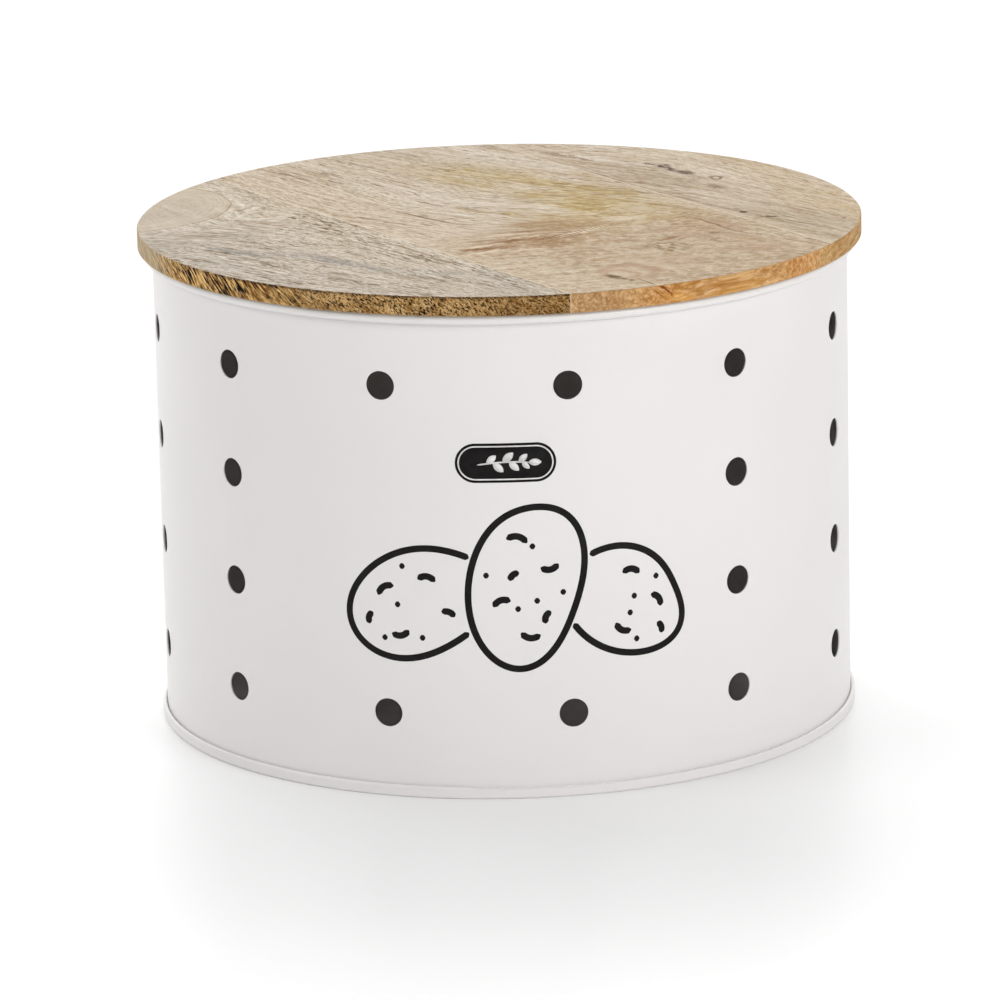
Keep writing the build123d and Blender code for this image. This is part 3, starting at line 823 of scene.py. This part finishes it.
# %% Back board: edge and finish
flat_edge, angle = unrolled_edge(tree, parts)
slanted = moved(tree, bent(tree, flat_edge, 20.0, 2.0), turn=math.radians(-8))
edge = grain(tree, slanted, streak_length=40.0, streak_width=2.0,
             dash_length=6.0, dash_width=0.8, dash_start=0.62)
edge_tone = blend(tree, edge["Bands"], paint(173, 130, 74), paint(202, 163, 109))
edge_tone = fibres(tree, edge_tone, edge, paint(142, 100, 50), paint(218, 185, 136),
                   paint(107, 69, 24), 0.5, 0.5)
tone = blend(tree, side, tone, edge_tone)
pits = calc(tree, "MAXIMUM", share(tree, crack, 2.0), share(tree, hole, 4.0))
relief = calc(tree, "SUBTRACT", top["Height"], pits)
wood_finish(nodes["lid_board_back"], back_wood, tree, shader, tone, relief, top["Pores"])

# %% [markdown]
# ## Rim wire and seal
# Two parts are only seen with the lid off or the tin turned over. The wire that stiffens the rolled
# rim is plain drawn steel, and drawing leaves fine lines along it. The ring round the lid's plug is
# pale silicone: it lets a little light in, is smooth from its mould and picks up dust.

# %% Drawn steel wire
wire, tree, shader = new_material("drawn_steel")
place = object_place(tree)
parts = split(tree, place)
spread = vector_length(tree, vector_of(tree, parts[0], parts[1], 0.0))
drawn = noise(tree, vector_of(tree, spread, parts[2], 0.0), 9000, 2, 0.6)
dull = noise(tree, place, 90, 3, 0.6)
tone = blend(tree, ease(tree, dull, 0.35, 0.7), (0.50, 0.50, 0.51, 1), (0.38, 0.375, 0.37, 1))
shader.inputs["Metallic"].default_value = 1.0
gloss = calc(tree, "MULTIPLY_ADD", dull, 0.2, 0.22)
feed(tree, shader, tone, gloss, raised(tree, drawn, 0.3, 0.02 * MM))
dress(nodes["rim_wire"], wire)
print("dressed rim_wire")

# %% Silicone ring
silicone, tree, shader = new_material("silicone_pale")
place = object_place(tree)
cloudy = ease(tree, noise(tree, place, 70, 3, 0.6), 0.3, 0.7)
dust = ease(tree, noise(tree, place, 1600, 2, 0.6), 0.60, 0.72)
tone = blend(tree, cloudy, (0.74, 0.73, 0.70, 1), (0.66, 0.65, 0.62, 1))
tone = tint(tree, tone, (0.80, 0.79, 0.77, 1), dust, 0.35)
gloss = calc(tree, "MULTIPLY_ADD", dust, 0.3, 0.42)
shader.inputs["Subsurface Weight"].default_value = 0.25
shader.inputs["Subsurface Scale"].default_value = 0.6 * MM
feed(tree, shader, tone, gloss, raised(tree, noise(tree, place, 700, 2, 0.5), 0.2, 0.05 * MM))
dress(nodes["lid_seal"], silicone)
print("dressed lid_seal")

# %% [markdown]
# ## Printed drawing
# The front of the tin carries a screen print in one black ink: a loose pen drawing of three
# potatoes, which says what the tin is for. The ink is thin but real, and it follows the round wall,
# so it is a mesh and not a colour in the coat: it stays sharp from any distance.
#
# Each line is a curve with a round bevel, which gives a pen stroke of even width. The tubes are
# made on a flat drawing board, pressed to the thickness of ink, and then bent round the wall. The
# outlines are ellipses with a few slow waves, so the potatoes look grown and not drawn with a
# compass. Where a potato lies behind another, its points inside the nearer outline are left out.

# %% Black and white ink
def ink_material(name, colour, roughness):
    """Printed ink: the orange peel below shows through as a faint bump, and the film varies a little."""
    ink, tree, shader = new_material(name)
    place = object_place(tree)
    peel = noise(tree, place, PEEL_SCALE, 2, 0.5)
    film = ease(tree, noise(tree, place, 240, 3, 0.6), 0.3, 0.7)
    worn = tuple(part * 1.35 + 0.004 for part in colour[:3]) + (1,)
    gloss = calc(tree, "MULTIPLY_ADD", film, 0.12, roughness)
    skin = raised(tree, peel, PEEL_STRENGTH, PEEL_DEPTH)
    feed(tree, shader, blend(tree, film, colour, worn), gloss, skin)
    shader.inputs["Specular IOR Level"].default_value = 0.12
    return ink


black_ink = ink_material("print_ink_black", (0.006, 0.005, 0.005, 1), 0.5)
white_ink = ink_material("print_ink_white", (0.60, 0.59, 0.58, 1), 0.40)
print("mixed", black_ink.name, "and", white_ink.name)

# %% Drawing board
INK = 0.05 * MM                       # thickness of one layer of ink


def round_the_wall(mesh, middle_angle, middle_height, lift):
    """Bends a flat drawing (x along the wall, z up, -y towards the viewer) round the tin."""
    for vertex in mesh.vertices:
        angle = math.radians(middle_angle) + vertex.co.x / wall_radius
        reach = wall_radius + lift - vertex.co.y
        vertex.co = (reach * math.sin(angle), -reach * math.cos(angle), vertex.co.z + middle_height)
    mesh.update()


def place_print(name, mesh, ink, middle_angle, middle_height, lift):
    round_the_wall(mesh, middle_angle, middle_height, lift)
    piece = bpy.data.objects.new(name, mesh)
    bpy.context.scene.collection.objects.link(piece)
    dress(piece, ink)
    for face in mesh.polygons:
        face.use_smooth = True
    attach(piece, "bin")
    print(name, "has", len(mesh.polygons), "faces")
    return piece


def pen_lines(name, strokes, width):
    """A flat mesh of pen strokes. A stroke is (points in millimetres, closed or not)."""
    curve = bpy.data.curves.new(name, "CURVE")
    curve.dimensions = "3D"
    curve.bevel_depth = width * MM / 2
    curve.bevel_resolution = 2
    curve.use_fill_caps = True
    for points, closed in strokes:
        spline = curve.splines.new("POLY")
        spline.points.add(len(points) - 1)
        spline.use_cyclic_u = closed
        walked = 0.0
        reach = [0.0]
        for here, there in zip(points, points[1:]):
            walked += math.dist(here, there)
            reach.append(walked)
        for knot, point, done in zip(spline.points, points, reach):
            knot.co = (point[0] * MM, 0, point[1] * MM, 1)
            # An open stroke starts and ends as round as the pen's tip.
            to_end = 1.0 if closed else min(1.0, min(done, walked - done) / (width / 2) + 0.03)
            knot.radius = math.sqrt(1 - (1 - to_end) ** 2)
    drawing = bpy.data.objects.new(name, curve)
    bpy.context.scene.collection.objects.link(drawing)
    bpy.context.view_layer.update()
    mesh = bpy.data.meshes.new_from_object(drawing.evaluated_get(bpy.context.evaluated_depsgraph_get()))
    bpy.data.objects.remove(drawing)
    mesh.transform(Matrix.Diagonal((1, INK / (width * MM), 1, 1)))
    return mesh

# %% Potato outlines
# middle x, middle z, half length, half height, turn, and how far each slow wave swells the outline
POTATOES = (
    (3.0, -1.0, 28.0, 19.0, 80, (0.030, 0.035, 0.012), 1.2),
    (-33.0, -7.0, 25.0, 18.5, 22, (0.040, 0.028, 0.014), 0.4),
    (36.5, -8.5, 22.5, 17.0, -24, (0.045, -0.030, 0.016), 2.1))


def swell(potato, angle):
    waves, start = potato[5], potato[6]
    return 1 + sum(wave * math.cos((n + 2) * angle + start * (n + 1)) for n, wave in enumerate(waves))


def leaned(along, over, turn):
    """A step on the drawing, turned by some degrees."""
    lean = math.radians(turn)
    return (along * math.cos(lean) - over * math.sin(lean),
            along * math.sin(lean) + over * math.cos(lean))


def on_potato(potato, angle, out=1.0):
    """A point of the outline, or inside it where only a part of the way out is taken."""
    x, z, half_length, half_height, turn = potato[:5]
    along = half_length * out * swell(potato, angle) * math.cos(angle)
    over = half_height * out * swell(potato, angle) * math.sin(angle)
    across, up = leaned(along, over, turn)
    return x + across, z + up


def inside_potato(potato, point, gap):
    x, z, half_length, half_height, turn = potato[:5]
    along, over = leaned(point[0] - x, point[1] - z, -turn)
    angle = math.atan2(over / half_height, along / half_length)
    return math.hypot(along, over) < math.dist(on_potato(potato, angle), (x, z)) + gap


def visible_runs(points, nearer, gap):
    """The stretches of an outline that no nearer potato hides."""
    shown = [not any(inside_potato(potato, point, gap) for potato in nearer) for point in points]
    if all(shown):
        return [(points, True)]
    first = next(n for n in range(len(points)) if shown[n] and not shown[n - 1])
    runs, run = [], []
    for n in range(len(points)):
        place = (first + n) % len(points)
        if shown[place]:
            run.append(points[place])
        elif run:
            runs.append((run, False))
            run = []
    if run:
        runs.append((run, False))
    return [(run, closed) for run, closed in runs if len(run) > 3]

# %% Draw and print the potatoes
PEN = 2.3                             # width of a line in millimetres
OUTLINE_POINTS = 160
BEHIND_GAP = 1.6                      # space left where a line runs behind a potato
DRAWING_ANGLE = 6.3                   # degrees off the front of the tin
DRAWING_HEIGHT = 74.4 * MM
strokes = []
for order, potato in enumerate(POTATOES):
    outline = [on_potato(potato, math.tau * n / OUTLINE_POINTS) for n in range(OUTLINE_POINTS)]
    strokes += visible_runs(outline, POTATOES[:order], BEHIND_GAP)
# Eyes: potato, angle and share of the way out, length, turn and bow
EYES = (
    (0, 0.5, 0.62, 7.0, -12, 1.6), (0, 2.2, 0.45, 6.0, 18, 1.4), (0, -0.9, 0.42, 6.0, 10, -1.4),
    (0, 3.5, 0.60, 6.5, -8, -1.5), (0, -2.2, 0.62, 4.4, 66, 1.0), (0, 1.2, 0.24, 4.0, 40, 0.9),
    (1, 2.3, 0.55, 6.5, 32, 1.5), (1, 1.0, 0.42, 6.0, -6, 1.4), (1, 3.9, 0.55, 6.0, 12, -1.4),
    (1, 3.1, 0.70, 4.2, 74, 1.0), (1, -0.9, 0.50, 4.6, -20, 1.0), (2, 1.7, 0.52, 6.0, -6, 1.4),
    (2, 0.4, 0.55, 5.6, -52, 1.3), (2, -1.3, 0.50, 6.0, -28, -1.4), (2, -0.4, 0.72, 4.0, -70, 0.9))
# Freckles: potato, angle and share of the way out
FRECKLES = (
    (0, 1.5, 0.72), (0, 2.9, 0.30), (0, 0.0, 0.50), (0, -1.6, 0.70), (0, 4.1, 0.30), (1, 1.6, 0.74),
    (1, 2.8, 0.30), (1, -1.8, 0.66), (1, -2.6, 0.74), (2, 0.9, 0.20), (2, 1.1, 0.76), (2, -0.9, 0.24),
    (2, -1.0, 0.74))
FRECKLE_STEPS = (-0.95, -0.4, 0.4, 0.95)
for which, angle, out, length, turn, bow in EYES:
    x, z = on_potato(POTATOES[which], angle, out)
    arc = [leaned(length * (n / 8 - 0.5), bow * (1 - (n / 4 - 1) ** 2), turn) for n in range(9)]
    strokes.append(([(x + across, z + up) for across, up in arc], False))
for which, angle, out in FRECKLES:
    x, z = on_potato(POTATOES[which], angle, out)
    strokes.append(([(x + step, z) for step in FRECKLE_STEPS], False))
print("drew", len(POTATOES), "potatoes with", len(strokes), "strokes")
drawing = pen_lines("potato_drawing", strokes, PEN)
place_print("potato_drawing", drawing, black_ink, DRAWING_ANGLE, DRAWING_HEIGHT, 0.0)

# %% [markdown]
# ## Small printed badge
# Above the drawing sits a small badge: a black pill with a thin white line round it and a white leaf
# sprig. It is printed in two passes, black first and white on top, so the white lies one layer
# higher. The pill starts as a circle whose halves are moved apart, and is then cut into narrow
# strips, because a face can only bend round the wall where it has an edge.

# %% Pill
PILL_LENGTH = 33.6
PILL_HEIGHT = 13.4
PILL_STRIPS = 24
PILL_CORNERS = 48
BADGE_ANGLE = 4.9
BADGE_HEIGHT = 115.6 * MM


def raise_ink(bm):
    """Turns flat faces into a layer of ink towards the viewer."""
    lifted = bmesh.ops.extrude_face_region(bm, geom=bm.faces[:])["geom"]
    corners = [item for item in lifted if isinstance(item, bmesh.types.BMVert)]
    bmesh.ops.translate(bm, verts=corners, vec=(0, -INK, 0))
    bmesh.ops.recalc_face_normals(bm, faces=bm.faces)


standing = Matrix.Rotation(math.radians(90), 4, "X")
half_step = Matrix.Rotation(math.radians(180 / PILL_CORNERS), 4, "Z")
bm = bmesh.new()
bmesh.ops.create_circle(bm, cap_ends=True, segments=PILL_CORNERS, radius=PILL_HEIGHT * MM / 2,
                        matrix=standing @ half_step)
for vertex in bm.verts:
    vertex.co.x += math.copysign((PILL_LENGTH - PILL_HEIGHT) * MM / 2, vertex.co.x)
for n in range(1, PILL_STRIPS):
    cut = (n / PILL_STRIPS - 0.5) * PILL_LENGTH * MM
    bmesh.ops.bisect_plane(bm, geom=bm.verts[:] + bm.edges[:] + bm.faces[:],
                           plane_co=(cut, 0, 0), plane_no=(1, 0, 0))
raise_ink(bm)
pill = bpy.data.meshes.new("badge_pill")
bm.to_mesh(pill)
bm.free()
place_print("badge_pill", pill, black_ink, BADGE_ANGLE, BADGE_HEIGHT, 0.0)

# %% White line and sprig
LINE_INSET = 1.1
FRAME_PEN = 0.5
STEM_PEN = 0.55
half, bend = (PILL_LENGTH - PILL_HEIGHT) / 2, PILL_HEIGHT / 2 - LINE_INSET
frame_line = []
for centre, start in ((half, -90), (-half, 90)):
    arc = [math.radians(start + 180 * n / 20) for n in range(21)]
    frame_line += [(centre + bend * math.cos(a), bend * math.sin(a)) for a in arc]
    straight = math.copysign(1.0, centre)
    frame_line += [(centre - straight * 2 * half * n / 14, straight * bend) for n in range(1, 14)]
badge_line = pen_lines("badge_line", [(frame_line, True)], FRAME_PEN)
place_print("badge_line", badge_line, white_ink, BADGE_ANGLE, BADGE_HEIGHT, INK)

stem = [(-9.5 + 17 * n / 16, 0.9 * math.sin(2.4 * n / 16) - 0.6) for n in range(17)]
sprig = pen_lines("badge_sprig", [(stem, False)], STEM_PEN)
bm = bmesh.new()
bm.from_mesh(sprig)
LEAF_LEAN = 42
# Leaves: place along the stem, side, length
LEAVES = ((3, 1, 4.2), (5, -1, 4.6), (8, 1, 4.8), (10, -1, 4.4), (13, 1, 3.9), (14, -1, 3.4), (16, 0, 4.4))
for knot, hand, length in LEAVES:
    leaf = bmesh.new()
    bmesh.ops.create_circle(leaf, cap_ends=True, segments=24, radius=1.0, matrix=standing)
    for vertex in leaf.verts:
        # The circle is pinched at both ends into a pointed leaf and moved so that it starts at 0.
        width = vertex.co.z * (1 - vertex.co.x ** 2) ** 0.35 * 0.27
        vertex.co = ((vertex.co.x + 1) / 2 * length * MM, 0, width * length * MM)
    raise_ink(leaf)
    lean = Matrix.Rotation(-math.radians(hand * LEAF_LEAN), 4, "Y")
    root = Matrix.Translation((stem[knot][0] * MM, 0, stem[knot][1] * MM))
    bmesh.ops.transform(leaf, matrix=root @ lean, verts=leaf.verts)
    spare = bpy.data.meshes.new("leaf")
    leaf.to_mesh(spare)
    leaf.free()
    bm.from_mesh(spare)
    bpy.data.meshes.remove(spare)
bm.to_mesh(sprig)
bm.free()
place_print("badge_sprig", sprig, white_ink, BADGE_ANGLE, BADGE_HEIGHT, INK)
